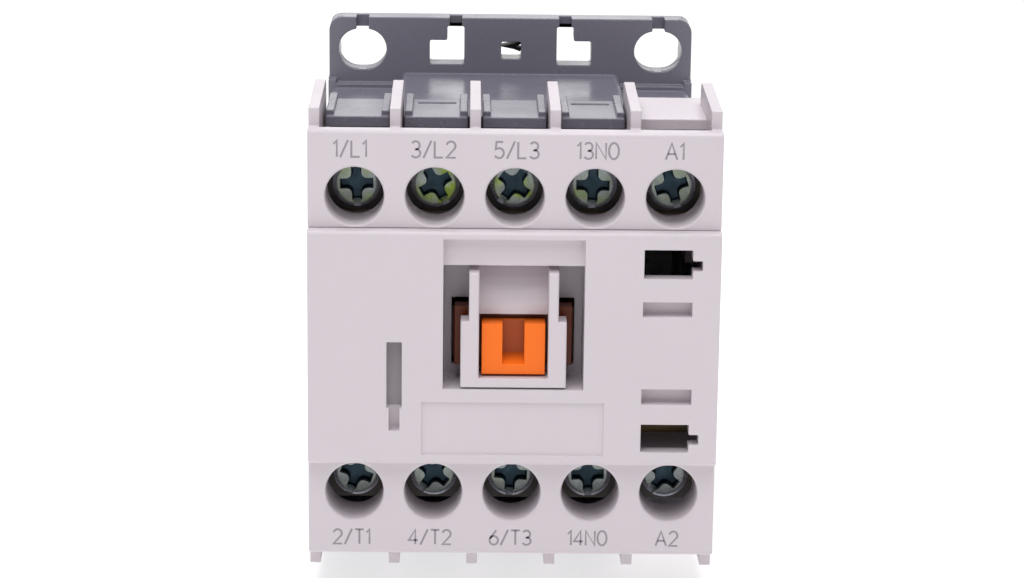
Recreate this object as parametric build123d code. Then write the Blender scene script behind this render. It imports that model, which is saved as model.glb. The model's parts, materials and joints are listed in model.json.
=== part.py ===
from build123d import *
import os

# Mini contactor. Millimetres. X is across the terminals, +Z is up, the front faces -Y and the
# mounting plane is Y = 0. The origin is the middle of the four panel screws.
# "Front" distances are counted back from a front face, "rear" ones forward from the mounting plane.

# Overall size
WIDTH = 45.0  # front covers and arc chamber
DEPTH = 57.0  # mounting plane to the face of the middle block
HEIGHT = 58.0  # mounting flange

# Terminal bays
BAY_PITCH = 8.71
LINE_BAYS = {"l1": -2, "l2": -1, "l3": 0, "13": 1}  # upper pole terminals, and the bay of each
LOAD_BAYS = {"t1": -2, "t2": -1, "t3": 0, "14": 1}  # lower pole terminals
COIL_BAY = 2
SCREW_Z = 16.72  # height of a terminal screw above or below the middle
DRIVER_HOLE_D = 6.4
DRIVER_HOLE_RIM = 0.15
SLEEVE_WALL = 0.45
SLEEVE_GAP = 0.2  # sleeve end to a clamp washer that is fully lifted

# Covers and arc chamber
FACE_HALF_Z = 23.95  # half height of the terminal faces
BLOCK_HALF_Z = 13.2  # half height of the raised middle block
BLOCK_PROUD = 1.4
FRONT_WALL = 2.0
SIDE_WALL = 1.2
HOUSING_DEPTH = 19.5  # terminal face to the parting plane
RIB = 1.2
RIB_SET_BACK = 2.5
RIB_RISE = 2.0  # height of a rib's front end over the terminal face
RIB_SLOPE_RISE = 0.6  # what it gains towards the rear
RIB_SHORT = 0.8  # gap from a rib's rear end to the parting plane
FACE_EDGE = 0.45
BLOCK_EDGE = 0.6
COVER_GAP = 0.1
CROSS_WALL = 1.0
CROSS_WALL_DEPTH = 9.1  # terminal face to the rear edge of a cross wall
LEDGE = 0.86  # how far a terminal's ledge stands out of its rib
LEDGE_THICK = 1.2

# Indicator window and its guard
WINDOW_HALF = 7.7
WINDOW_TOP = 12.3
WINDOW_STEP_Z = 9.2  # lower edge of the shallow step
WINDOW_SILL = -4.5
STEP_DEPTH = 1.1
WELL_DEPTH = 6.5  # block face to the window's floor
WELL_FLOOR = 1.0
WELL_WALL = 1.3
GUARD_INNER = 3.78
GUARD_NARROW = 4.9
GUARD_WIDE = 5.8
GUARD_SHOULDER_Z = 3.15
GUARD_TOP = 8.6
GUARD_THICK = 3.0
GUARD_BAR = 1.06
GUARD_SILL_GAP = 0.17

# Small openings in the middle block: X and Z limits
LEFT_SLOT = (-13.87, -12.2, -6.7, 0.73)
LEFT_SLOT_TAIL = (-13.6, -12.45, -9.3, -6.6)
ACCESSORY_HOLES = [(14.12, 19.4, 8.1, 11.3), (14.12, 19.4, -11.55, -8.4)]
ACCESSORY_NOTCH = (1.08, 1.1)  # how far a notch reaches past its hole, and its height
ACCESSORY_NOTCH_RISE = 0.9
ACCESSORY_SLOTS = [(14.08, 19.45, 3.83, 5.47), (14.12, 19.6, -6.1, -4.37)]
SLOT_DEPTH = 1.5
LABEL = (-10.0, 10.0, -12.05, -6.0)
LABEL_DEPTH = 0.25

# Base frame
FLANGE_HALF_X = 22.35
FLANGE_FRONT = 7.2  # rear distance of the flange's front face
FLANGE_PLATE = 3.6
FLANGE_CORNER = 1.7
FLANGE_RIM = 1.2
FLANGE_RIM_SLOPE = 1.5  # how far a rim's end falls away towards the rear
GUSSET = (1.0, 0.5)  # width, and height above the shoulder, of the posts at the shoulder's ends
SHOULDER_HALF_X = 22.42
SHOULDER_HALF_Z = 20.9
SHOULDER_PROUD = 1.3
BODY_SIDE_STEP = 0.45  # base side face inside the chamber's side face
BODY_HALF_Z = 20.3
HUMP_HALF_X = 13.4
HUMP_HALF_Z = 22.0
BODY_WALL = 1.3
FLOOR = 7.0  # rear distance of the magnet box's floor
PANEL_SPACING_X = 36.5
PANEL_SPACING_Z = 50.0
PANEL_HOLE_R = 2.5
PANEL_SLOT_LENGTH = 5.9
GROOVE_WIDTH = 1.5
GROOVE_DEPTH = 2.4
L_HOLE = (5.71, 9.97, -1.75, 1.2)  # X limits, and Z limits about the screw height
L_HOLE_LEG = (7.8, 2.95)  # outer X and top of its narrow leg
PEEP_HOLE = (-1.15, 1.3, -1.05, 1.05)
HOLE_CORNER = 0.25

# Wire shelves at the mouth of each bay
SHELF_TOP = 23.8
SHELF_THICK = 1.2
SHELF_FRONT = 9.2  # terminal face to the shelf's front edge
SHELF_RISER = 1.8
TAB_WIDTH = 0.85
TAB_RISE = 0.6
TAB_SET_BACK = 0.5
SNAP_SLOT = (2.1, 0.9, 0.7)  # half width, length and depth
COIL_SHELF_LENGTH = 13.8

# Side snaps between arc chamber and base
SNAP_Z = 8.0
SNAP_WIDTH = 4.0
SNAP_THICK = 0.9
SNAP_REACH = 4.0
SNAP_BARB = 0.8

# DIN rail seat and latch
RAIL_HALF_HEIGHT = 17.65
RAIL_SEAT = 4.0  # rear distance of the seat
RAIL_GRIP = 1.2
HOOK_REACH = 1.25
HOOK_HALF_X = 16.0
LATCH_HALF_X = 5.0
LATCH_WING = 1.2
LATCH_WING_THICK = 1.2
LATCH_TOP = -16.2
LATCH_BOTTOM = -28.6
LATCH_BACK = 0.3
LATCH_GAP = 0.2
LATCH_WINDOW = (1.7, -26.0, -18.9)  # half width, bottom and top
LATCH_POST = (1.2, -25.6, -24.8)
GUIDE_HALF_X = 9.0

# Terminals, screws and clamp washers
TERMINAL_SEAT = 9.6  # terminal face to the front of a terminal plate
TERMINAL_THICK = 1.2
BAY_SIDE_GAP = 0.25  # rib to the side of a terminal plate or a wire shelf
TERMINAL_OUTER = 20.2
TERMINAL_INNER = 11.6
CONTACT_ARM_HALF_X = 2.1
CONTACT_ARM_INNER = 4.6
CONTACT_Z = 6.8
TIP_D = 3.4
TIP_THICK = 0.8
CONTACT_DROP = 6.7  # front of a terminal plate to the front of its contact arm
WASHER_SIDE_GAP = 0.45
WASHER_THICK = 0.8
CLAMP_LIFT = 2.4
SCREW_SHANK_R = 1.7
SCREW_CLEARANCE = 0.05
SCREW_LENGTH = 7.1
SCREW_HEAD_R = 2.68
SCREW_HEAD_THICK = 1.9
HEAD_DOME = 0.55
RECESS_SLOT = (0.8, 0.6)  # width and depth
RECESS_CROSS = (1.15, 3.7, 1.25)  # width, length and depth
RECESS_CORNER = 0.6
# Angle at which each screw was left, in bay order
SCREW_TURNS_TOP = (92, 120, 54, 89, 107)
SCREW_TURNS_BOTTOM = (70, 53, 86, 92, 50)
COIL_LEG = (1.7, 1.2)  # width and thickness
COIL_LEG_REAR = 24.5

# Contact carrier and contacts
CARRIER_TRAVEL = 4.0
CONTACT_WIPE = 1.4
BAR_HALF_Z = 3.0
BAR_FRONT_BEAM = 1.0
BAR_REAR_BEAM = 1.3
BAR_START = 7.8  # block face to the bar's front beam
BAR_WINDOW_HALF_X = 2.6
BAR_WINDOW = 4.9
BAR_END_GAP = 0.55  # bar end to the rib or wall beyond it
BAR_SLIDE_GAP = 0.3
BRIDGE_HALF_X = 2.3
BRIDGE_HALF_Z = 8.6
BRIDGE_THICK = 0.8
BRIDGE_SEAT_GAP = 0.1
STUB_HALF_X = 3.48
STUB_Z = (-3.0, 2.75)
STUB_SET_BACK = 0.9
STUB_GROOVE_HALF_X = 1.2
STUB_GROOVE_DEPTH = 2.2
PLATE_HALF_X = 6.5
PLATE_Z = (-2.7, 4.0)
PLATE_SET_BACK = 3.8
PLATE_THICK = 2.0
STEM_HALF_X = 4.2
WING_HALF_X = 11.0
WING_THICK = 1.8

# Magnet
CORE_HALF_X = 4.5
CORE_HALF_Z = 16.5
CORE_YOKE = 4.0
OUTER_LEG_INNER = 12.0
CENTRE_LEG_HALF_Z = 4.0
PAD_THICK = 1.0
CORE_FACE = 20.9  # rear distance of the fixed core's outer pole faces
POLE_GAP = 0.1  # left between the poles when the contactor is closed
CENTRE_GAP = 0.1
ARMATURE_LEG = 5.0
ARMATURE_SEAT_GAP = 0.1
CHEEK = 1.5
CHEEK_GAP = 0.2
PIN_R = 1.0
PIN_CLEARANCE = 0.04
RING_OVERHANG = 0.85
RING_SLOT = 0.9
RING_DEPTH = 1.0
RING_Z = 13.9
BOBBIN_HALF_X = 12.0
BOBBIN_HALF_Z = 11.7
BOBBIN_FLANGE = 1.2
BOBBIN_TUBE = 1.0
BOBBIN_CORE_GAP = 0.2
BOBBIN_REAR = 12.2
BOBBIN_LENGTH = 13.7
WINDING_INSET = 0.9
WINDING_GAP = 0.05
RETURN_SPRING_X = 8.7
SEAT_PAD_HALF_Z = 5.0

# Springs: coil radius, wire radius, turns
CONTACT_SPRING = (1.55, 0.17, 4)
RETURN_SPRING = (1.75, 0.22, 6)
LATCH_SPRING = (1.1, 0.17, 6)
SPRING_END_GAP = 0.03

# Planes and widths worked out from the sizes above
BAY_HALF = (BAY_PITCH - RIB) / 2
TERMINAL_HALF_X = BAY_HALF - BAY_SIDE_GAP
SHELF_HALF_X = BAY_HALF - BAY_SIDE_GAP
WASHER_HALF = BAY_HALF - WASHER_SIDE_GAP
BLOCK_Y = -DEPTH
FACE_Y = BLOCK_Y + BLOCK_PROUD
WALL_BACK_Y = FACE_Y + FRONT_WALL
PARTING_Y = FACE_Y + HOUSING_DEPTH
RIB_REAR_Y = PARTING_Y - RIB_SHORT
WELL_BACK_Y = BLOCK_Y + WELL_DEPTH + WELL_FLOOR
PLATE_Y = FACE_Y + TERMINAL_SEAT
FLANGE_Y = -FLANGE_FRONT
SIDE_X = WIDTH / 2
BODY_X = SIDE_X - BODY_SIDE_STEP
PANEL_Z = PANEL_SPACING_Z / 2
BAR_Y = BLOCK_Y + BAR_START
BAR_REAR_Y = BAR_Y + BAR_FRONT_BEAM + BAR_WINDOW + BAR_REAR_BEAM
ARMATURE_POLE_Y = -(CORE_FACE + POLE_GAP + CARRIER_TRAVEL)
ARMATURE_YOKE_Y = ARMATURE_POLE_Y - ARMATURE_LEG - CORE_YOKE
WING_Y = ARMATURE_YOKE_Y - ARMATURE_SEAT_GAP
BOBBIN_FRONT_Y = -(BOBBIN_REAR + BOBBIN_LENGTH)


def block(x0, x1, y0, y1, z0, z1):
    """A box between two limits on each axis, in either order."""
    centre = Pos((x0 + x1) / 2, (y0 + y1) / 2, (z0 + z1) / 2)
    return centre * Box(abs(x1 - x0), abs(y1 - y0), abs(z1 - z0))


def rod(x, z, radius, y0, y1):
    """A cylinder along Y."""
    return Pos(x, (y0 + y1) / 2, z) * Rot(90, 0, 0) * Cylinder(radius, abs(y1 - y0))


def side_profile(points, x0, x1):
    """A closed (Y, Z) outline carried from x0 to x1."""
    face = make_face(Polyline([(x0, y, z) for y, z in points], close=True))
    return extrude(face, amount=x1 - x0, dir=(1, 0, 0))


def spring(sizes, start, end):
    """A helical spring between two points on one axis."""
    coil_r, wire_r, turns = sizes
    start, end = Vector(*start), Vector(*end)
    axis = (end - start).normalized()
    margin = wire_r + SPRING_END_GAP
    height = (end - start).length - 2 * margin
    path = Helix(pitch=height / turns, height=height, radius=coil_r)
    wire = sweep(Plane(path @ 0, z_dir=path % 0) * Circle(wire_r), path=path, is_frenet=True)
    return Plane(start + axis * margin, z_dir=axis).location * wire


def bay_x(bay):
    return bay * BAY_PITCH


def rib_edges():
    """X limits of the six ribs: four between the bays, and the two side walls."""
    inner = [(n + 0.5) * BAY_PITCH for n in (-2, -1, 0, 1)]
    ribs = [(x - RIB / 2, x + RIB / 2) for x in inner]
    return [(-SIDE_X, -SIDE_X + SIDE_WALL)] + ribs + [(SIDE_X - SIDE_WALL, SIDE_X)]


def rib(x0, x1):
    """One rib: starts behind the covers, steps up past them, slopes up to a rounded rear corner."""
    step = FACE_Y + RIB_SET_BACK
    top = FACE_HALF_Z + RIB_RISE
    upper = [
        (WALL_BACK_Y, FACE_HALF_Z), (step, FACE_HALF_Z), (step, top), (RIB_REAR_Y, top + RIB_SLOPE_RISE)
    ]
    lower = [(y, -z) for y, z in reversed(upper)]
    shape = side_profile(upper + lower, x0, x1)
    corners = shape.edges().filter_by(Axis.X).group_by(Axis.Y)[-1]
    return fillet(corners, 1.3)


def cross_wall(side):
    """The wall between a terminal row and the contacts, across all bays."""
    half = SIDE_X - SIDE_WALL / 2
    z0, z1 = side * (BLOCK_HALF_Z - CROSS_WALL), side * BLOCK_HALF_Z
    return block(-half, half, WALL_BACK_Y, FACE_Y + CROSS_WALL_DEPTH, z0, z1)


def terminal_ledges(side):
    """Ledges along the ribs that the terminal plates lie on, one row."""
    y0 = PLATE_Y + TERMINAL_THICK
    low = BLOCK_HALF_Z + LATCH_GAP
    ledges = []
    for x0, x1 in rib_edges():
        left = max(x0 - LEDGE, -SIDE_X + SIDE_WALL / 2)
        right = min(x1 + LEDGE, SIDE_X - SIDE_WALL / 2)
        ledges.append(block(left, right, y0, y0 + LEDGE_THICK, side * low, side * TERMINAL_OUTER))
    return Part() + ledges


def well_room():
    """Room in the ribs for the window's well."""
    half = WINDOW_HALF + WELL_WALL + COVER_GAP
    low = WINDOW_SILL - WELL_WALL - COVER_GAP
    high = WINDOW_STEP_Z + WELL_WALL + COVER_GAP
    return block(-half, half, FACE_Y, WELL_BACK_Y + COVER_GAP, low, high)


def slider_room():
    """Room in the ribs for the indicator's plate at the end of its travel."""
    half = PLATE_HALF_X + BAR_SLIDE_GAP
    back = BLOCK_Y + PLATE_SET_BACK + PLATE_THICK + CARRIER_TRAVEL + BAR_SLIDE_GAP
    low, high = STUB_Z[0] - BAR_SLIDE_GAP, PLATE_Z[1] + BAR_SLIDE_GAP
    return block(-half, half, FACE_Y, back, low, high)


def bar_slots():
    """Ways through the three inner ribs for the carrier's bar, open to the rear."""
    half = BAR_HALF_Z + BAR_SLIDE_GAP
    cuts = [
        block(x0 - 0.1, x1 + 0.1, BAR_Y - 0.4, PARTING_Y, -half, half)
        for x0, x1 in rib_edges()[1:4]
    ]
    return Part() + cuts


def coil_shelves():
    """The chamber's own wire shelves over and under the coil terminals."""
    x0 = (COIL_BAY - 0.5) * BAY_PITCH
    y0 = FACE_Y + SHELF_FRONT
    shelves = []
    for side in (-1, 1):
        low, high = side * (SHELF_TOP - SHELF_THICK), side * SHELF_TOP
        shelves.append(block(x0, SIDE_X - SIDE_WALL / 2, y0, y0 + COIL_SHELF_LENGTH, low, high))
    return Part() + shelves


def snap_tongues():
    """Four barbed tongues that reach into the base and catch in its side windows."""
    outer = BODY_X - BODY_WALL - LATCH_GAP / 2
    root = PARTING_Y - SNAP_REACH
    tip = PARTING_Y + SNAP_REACH
    tongues = []
    for side in (-1, 1):
        for z in (-SNAP_Z, SNAP_Z):
            z0, z1 = z - SNAP_WIDTH / 2, z + SNAP_WIDTH / 2
            inner = outer - SNAP_THICK
            tongues.append(block(side * inner, side * outer, root, tip, z0, z1))
            tongues.append(block(side * inner, side * (SIDE_X - 0.5), root, PARTING_Y - 0.2, z0, z1))
            barb = block(side * inner, side * (outer + SNAP_BARB), tip - 1.4, tip - 0.4, z0, z1)
            tongues.append(barb)
    return Part() + tongues


def arc_chamber():
    """Side walls, ribs, cross walls and ledges between the covers and the base."""
    edges = rib_edges()
    shape = Part() + [rib(x0, x1) for x0, x1 in edges]
    for x0, x1 in (edges[0], edges[-1]):
        shape += block(x0, x1, WALL_BACK_Y, PARTING_Y, -BODY_HALF_Z, BODY_HALF_Z)
    for side in (-1, 1):
        shape += cross_wall(side) + terminal_ledges(side)
    shape = shape - bar_slots() - well_room() - slider_room()
    return shape + coil_shelves() + snap_tongues()


def terminal_cover(side):
    """Front wall over one terminal row, with a driver hole and its sleeve at each screw."""
    z0, z1 = side * BLOCK_HALF_Z, side * FACE_HALF_Z
    cover = block(-SIDE_X, SIDE_X, FACE_Y, WALL_BACK_Y, z0, z1)
    front = cover.edges().filter_by(Axis.X).group_by(Axis.Y)[0].sort_by(Axis.Z)
    cover = fillet(front[-1] if side > 0 else front[0], FACE_EDGE)
    rim_depth = 2 * DRIVER_HOLE_RIM
    radius = DRIVER_HOLE_D / 2
    sleeve_end = PLATE_Y - WASHER_THICK - CLAMP_LIFT - SLEEVE_GAP
    inner = block(-SIDE_X, SIDE_X, FACE_Y, sleeve_end + 1, 0, side * (BLOCK_HALF_Z + COVER_GAP))
    for bay in range(-2, 3):
        x, z = bay_x(bay), side * SCREW_Z
        rim = Cone(radius + rim_depth, radius, rim_depth)
        sleeve = rod(x, z, radius + SLEEVE_WALL, FACE_Y + FRONT_WALL / 2, sleeve_end) - inner
        cover += sleeve
        cover -= rod(x, z, radius, FACE_Y - 1, sleeve_end + 1)
        cover -= Pos(x, FACE_Y, z) * Rot(-90, 0, 0) * rim
    return cover


def cover_shell():
    """The raised middle block, hollow behind its front wall."""
    shell = block(-SIDE_X, SIDE_X, BLOCK_Y, WALL_BACK_Y, -BLOCK_HALF_Z, BLOCK_HALF_Z)
    shell = fillet(shell.edges().filter_by(Axis.X).group_by(Axis.Y)[0], BLOCK_EDGE)
    half_x, half_z = SIDE_X - SIDE_WALL, BLOCK_HALF_Z - CROSS_WALL
    return shell - block(-half_x, half_x, BLOCK_Y + FRONT_WALL, WALL_BACK_Y + 1, -half_z, half_z)


def window_well():
    """The block behind the indicator window."""
    half = WINDOW_HALF + WELL_WALL
    low, high = WINDOW_SILL - WELL_WALL, WINDOW_STEP_Z + WELL_WALL
    return block(-half, half, BLOCK_Y + BLOCK_EDGE, WELL_BACK_Y, low, high)


def window_cuts():
    """Shallow step, deep well, and the way through for the carrier."""
    step = block(
        -WINDOW_HALF, WINDOW_HALF, BLOCK_Y - 1, BLOCK_Y + STEP_DEPTH, WINDOW_STEP_Z - 1, WINDOW_TOP
    )
    floor = BLOCK_Y + WELL_DEPTH
    well = block(-WINDOW_HALF, WINDOW_HALF, BLOCK_Y - 1, floor, WINDOW_SILL, WINDOW_STEP_Z)
    gap = BAR_SLIDE_GAP
    way = block(
        -PLATE_HALF_X - gap, PLATE_HALF_X + gap, floor - 1, WELL_BACK_Y + 1,
        STUB_Z[0] - gap, PLATE_Z[1] + gap,
    )
    return step + well + way


def guard():
    """The fixed U in front of the indicator."""
    foot = WINDOW_SILL + GUARD_SILL_GAP
    front, back = BLOCK_Y, BLOCK_Y + GUARD_THICK
    root = BLOCK_Y + WELL_DEPTH + 0.2
    shape = block(-GUARD_WIDE, GUARD_WIDE, front, back, foot, foot + GUARD_BAR)
    for side in (-1, 1):
        inner, wide, narrow = side * GUARD_INNER, side * GUARD_WIDE, side * GUARD_NARROW
        shape += block(inner, wide, front, back, foot, GUARD_SHOULDER_Z)
        shape += block(inner, narrow, front, back, GUARD_SHOULDER_Z - 1, GUARD_TOP)
        shape += block(inner, narrow, front, root, PLATE_Z[1] + BAR_SLIDE_GAP, GUARD_TOP)
    rims = shape.edges().group_by(Axis.Y)[0]
    return chamfer(rims, 0.15)


def cover_cuts():
    """Accessory holes and slots, the left slot and the label recess."""
    behind = BLOCK_Y + FRONT_WALL + 1
    cuts = []
    for x0, x1, z0, z1 in ACCESSORY_HOLES:
        reach, height = ACCESSORY_NOTCH
        notch = z0 + ACCESSORY_NOTCH_RISE
        cuts.append(block(x0, x1, BLOCK_Y - 1, behind, z0, z1))
        cuts.append(block(x1 - 1, x1 + reach, BLOCK_Y - 1, behind, notch, notch + height))
    for x0, x1, z0, z1 in (*ACCESSORY_SLOTS, LEFT_SLOT, LEFT_SLOT_TAIL):
        cuts.append(block(x0, x1, BLOCK_Y - 1, BLOCK_Y + SLOT_DEPTH, z0, z1))
    x0, x1, z0, z1 = LABEL
    cuts.append(block(x0, x1, BLOCK_Y - 1, BLOCK_Y + LABEL_DEPTH, z0, z1))
    return Part() + cuts


def front_cover():
    return cover_shell() + window_well() - window_cuts() + guard() - cover_cuts()


def flange():
    """Mounting flange, its rims, and the blocks above and below the rail."""
    half_z = HEIGHT / 2
    plate_y = FLANGE_Y + FLANGE_PLATE
    plate = block(-FLANGE_HALF_X, FLANGE_HALF_X, FLANGE_Y, 0, -half_z, half_z)
    plate = fillet(plate.edges().filter_by(Axis.Y), FLANGE_CORNER)
    inner_x = FLANGE_HALF_X - FLANGE_RIM
    pocket_top = block(-inner_x, inner_x, plate_y, 1, SHOULDER_HALF_Z, half_z + 1)
    pocket_low = [
        block(side * GUIDE_HALF_X, side * inner_x, plate_y, 1, -SHOULDER_HALF_Z, -half_z - 1)
        for side in (-1, 1)
    ]
    shoulder = block(
        -SHOULDER_HALF_X, SHOULDER_HALF_X, FLANGE_Y - SHOULDER_PROUD, 0, -SHOULDER_HALF_Z, SHOULDER_HALF_Z
    )
    shape = plate - pocket_top - pocket_low + shoulder
    width, rise = GUSSET
    for side in (-1, 1):
        slope = make_face(
            Polyline(
                [
                    (-SHOULDER_HALF_X - 1, plate_y, side * half_z),
                    (-SHOULDER_HALF_X - 1, 1, side * half_z),
                    (-SHOULDER_HALF_X - 1, 1, side * (half_z - FLANGE_RIM_SLOPE)),
                ],
                close=True,
            )
        )
        shape -= extrude(slope, amount=2 * SHOULDER_HALF_X + 2, dir=(1, 0, 0))
        shape += block(
            side * (SHOULDER_HALF_X - width), side * SHOULDER_HALF_X, FLANGE_Y - SHOULDER_PROUD, plate_y,
            SHOULDER_HALF_Z - 1, SHOULDER_HALF_Z + rise,
        )
    return shape


def flange_holes():
    """Slotted screw holes with a groove above each, the two L openings and the spring's opening."""
    run = PANEL_SLOT_LENGTH / 2 - PANEL_HOLE_R
    front, back = FLANGE_Y - 1, 1
    half_z = HEIGHT / 2
    cuts = []
    for x in (-PANEL_SPACING_X / 2, PANEL_SPACING_X / 2):
        for z in (-PANEL_Z, PANEL_Z):
            cuts += [rod(x + dx, z, PANEL_HOLE_R, front, back) for dx in (-run, run)]
            cuts.append(block(x - run, x + run, front, back, z - PANEL_HOLE_R, z + PANEL_HOLE_R))
        groove = GROOVE_WIDTH / 2
        cuts.append(block(x - groove, x + groove, front, FLANGE_Y + GROOVE_DEPTH, PANEL_Z, half_z + 1))
    inner, outer, low, high = L_HOLE
    leg_outer, leg_top = L_HOLE_LEG
    leg_middle = (inner + leg_outer) / 2
    for side in (-1, 1):
        opening = block(side * inner, side * outer, front, back, PANEL_Z + low, PANEL_Z + high)
        opening += block(side * inner, side * leg_outer, front, back, PANEL_Z, PANEL_Z + leg_top)
        cuts.append(fillet(opening.edges().filter_by(Axis.Y), HOLE_CORNER))
        groove = block(
            side * (leg_middle - GROOVE_WIDTH / 2), side * (leg_middle + GROOVE_WIDTH / 2),
            front, FLANGE_Y + GROOVE_DEPTH, PANEL_Z + high, half_z + 1,
        )
        cuts.append(groove)
    x0, x1, z0, z1 = PEEP_HOLE
    peep = block(x0, x1, front, back, PANEL_Z + z0, PANEL_Z + z1)
    cuts.append(fillet(peep.edges().filter_by(Axis.Y), HOLE_CORNER))
    return Part() + cuts


def rail_cuts():
    """The rail's recess and the T channel of the latch."""
    recess = block(
        -SHOULDER_HALF_X - 1, SHOULDER_HALF_X + 1, -RAIL_SEAT, 1, -RAIL_HALF_HEIGHT, RAIL_HALF_HEIGHT
    )
    half = LATCH_HALF_X + LATCH_GAP
    low = -HEIGHT / 2 - 1
    wing_back = -RAIL_SEAT + LATCH_WING_THICK + 2 * LATCH_GAP
    channel = block(-half, half, -RAIL_SEAT, 1, low, -RAIL_HALF_HEIGHT)
    wings = block(-half - LATCH_WING, half + LATCH_WING, -RAIL_SEAT, wing_back, low, -RAIL_HALF_HEIGHT)
    return recess + channel + wings


def wire_shelf(bay, side):
    """One shelf of the base: plate, riser, raised side tabs and the snap slot across its rear."""
    x = bay_x(bay)
    front = FACE_Y + SHELF_FRONT
    rear = PARTING_Y + SHELF_RISER / 2
    low, high = side * (SHELF_TOP - SHELF_THICK), side * SHELF_TOP
    root = side * (BODY_HALF_Z - BODY_WALL / 2)
    shape = block(x - SHELF_HALF_X, x + SHELF_HALF_X, front, rear, low, high)
    shape += block(x - SHELF_HALF_X, x + SHELF_HALF_X, rear - SHELF_RISER, rear, root, high)
    shape += block(x - SHELF_HALF_X, x + SHELF_HALF_X, PARTING_Y, rear, root, high)
    for edge in (-1, 1):
        x0 = x + edge * (SHELF_HALF_X - TAB_WIDTH)
        x1 = x + edge * SHELF_HALF_X
        tab_top = side * (SHELF_TOP + TAB_RISE)
        shape += block(x0, x1, front + TAB_SET_BACK, rear + TAB_SET_BACK, low, tab_top)
    if bay in (-1, 1):
        half, length, depth = SNAP_SLOT
        y0 = rear - SHELF_RISER - length
        shape -= block(x - half, x + half, y0, y0 + length, side * (SHELF_TOP - depth), side * 30)
    return shape


def base_body():
    """The magnet box with its raised middle, open in front."""
    rear = FLANGE_Y + 1
    body = block(-BODY_X, BODY_X, PARTING_Y, rear, -BODY_HALF_Z, BODY_HALF_Z)
    body = fillet(body.edges().filter_by(Axis.Y), 0.8)
    hump = block(-HUMP_HALF_X, HUMP_HALF_X, PARTING_Y, rear, -HUMP_HALF_Z, HUMP_HALF_Z)
    hump = fillet(hump.edges().filter_by(Axis.Y), 0.7)
    return body + hump


def base_cavity():
    inner_x, inner_z = BODY_X - BODY_WALL, BODY_HALF_Z - BODY_WALL
    return block(-inner_x, inner_x, PARTING_Y - 1, -FLOOR, -inner_z, inner_z)


def snap_windows():
    """Openings in the base's sides for the barbs."""
    tip = PARTING_Y + SNAP_REACH
    half = SNAP_WIDTH / 2 + LATCH_GAP
    cuts = [
        block(side * (BODY_X - BODY_WALL - 1), side * (BODY_X + 1), tip - 1.6, tip - 0.2, z - half, z + half)
        for side in (-1, 1)
        for z in (-SNAP_Z, SNAP_Z)
    ]
    return Part() + cuts


def magnet_seats():
    """Pads under the bobbin and ribs beside the fixed core, standing on the floor."""
    core_x = CORE_HALF_X + CHEEK_GAP
    seats = []
    for side in (-1, 1):
        seats.append(
            block(
                side * (core_x + 1.3), side * (BOBBIN_HALF_X - 0.5),
                -BOBBIN_REAR, -FLOOR + 0.2, -SEAT_PAD_HALF_Z, SEAT_PAD_HALF_Z,
            )
        )
        for end in (-1, 1):
            seats.append(
                block(side * core_x, side * (core_x + 1.3), -FLOOR - 3.5, -FLOOR + 0.2, end * 6, end * 14)
            )
    return Part() + seats


def latch_post():
    half, low, high = LATCH_POST
    return block(-half, half, -RAIL_SEAT - 0.2, -LATCH_BACK - 0.4, low, high)


def base_frame():
    shape = flange() + base_body() - base_cavity() - flange_holes() - rail_cuts() - snap_windows()
    grip = -RAIL_SEAT + RAIL_GRIP
    hook = block(
        -HOOK_HALF_X, HOOK_HALF_X, grip, 0, RAIL_HALF_HEIGHT - HOOK_REACH, RAIL_HALF_HEIGHT + 0.2
    )
    shape = shape + hook + magnet_seats() + latch_post()
    for bay in LINE_BAYS.values():
        for side in (-1, 1):
            shape += wire_shelf(bay, side)
    return shape


def pole_terminal(bay, side):
    """Terminal plate, the riser behind it and the contact arm with its tip."""
    x = bay_x(bay)
    back = PLATE_Y + TERMINAL_THICK
    arm_front = PLATE_Y + CONTACT_DROP
    arm_back = arm_front + TERMINAL_THICK
    inner = side * TERMINAL_INNER
    plate = block(x - TERMINAL_HALF_X, x + TERMINAL_HALF_X, PLATE_Y, back, inner, side * TERMINAL_OUTER)
    plate -= rod(x, side * SCREW_Z, SCREW_SHANK_R + SCREW_CLEARANCE, PLATE_Y - 1, back + 1)
    riser_z = side * (TERMINAL_INNER + TERMINAL_THICK)
    half = CONTACT_ARM_HALF_X
    riser = block(x - half, x + half, PLATE_Y, arm_back, inner, riser_z)
    arm = block(x - half, x + half, arm_front, arm_back, side * CONTACT_ARM_INNER, riser_z)
    tip = rod(x, side * CONTACT_Z, TIP_D / 2, arm_front - TIP_THICK, arm_front + 0.1)
    return plate + riser + arm + tip


def coil_terminal(side):
    """Coil terminal plate with a leg that runs back to the bobbin."""
    x = bay_x(COIL_BAY)
    back = PLATE_Y + TERMINAL_THICK
    width, thick = COIL_LEG
    plate = block(
        x - TERMINAL_HALF_X, x + TERMINAL_HALF_X, PLATE_Y, back,
        side * TERMINAL_INNER, side * TERMINAL_OUTER,
    )
    plate -= rod(x, side * SCREW_Z, SCREW_SHANK_R + SCREW_CLEARANCE, PLATE_Y - 1, back + 1)
    leg_z = side * (TERMINAL_INNER + thick)
    leg = block(x - width / 2, x + width / 2, PLATE_Y, -COIL_LEG_REAR, side * TERMINAL_INNER, leg_z)
    foot_y = -COIL_LEG_REAR - thick
    foot_x = BOBBIN_HALF_X + LATCH_GAP
    foot = block(foot_x, x + width / 2, foot_y, -COIL_LEG_REAR, side * (TERMINAL_INNER - 2), leg_z)
    return plate + leg + foot


def clamp_washer(bay, side):
    x, z = bay_x(bay), side * SCREW_Z
    front = PLATE_Y - WASHER_THICK
    shape = block(x - WASHER_HALF, x + WASHER_HALF, front, PLATE_Y, z - WASHER_HALF, z + WASHER_HALF)
    shape = fillet(shape.edges().filter_by(Axis.Y), 0.4)
    return shape - rod(x, z, SCREW_SHANK_R + SCREW_CLEARANCE, front - 1, PLATE_Y + 1)


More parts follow.
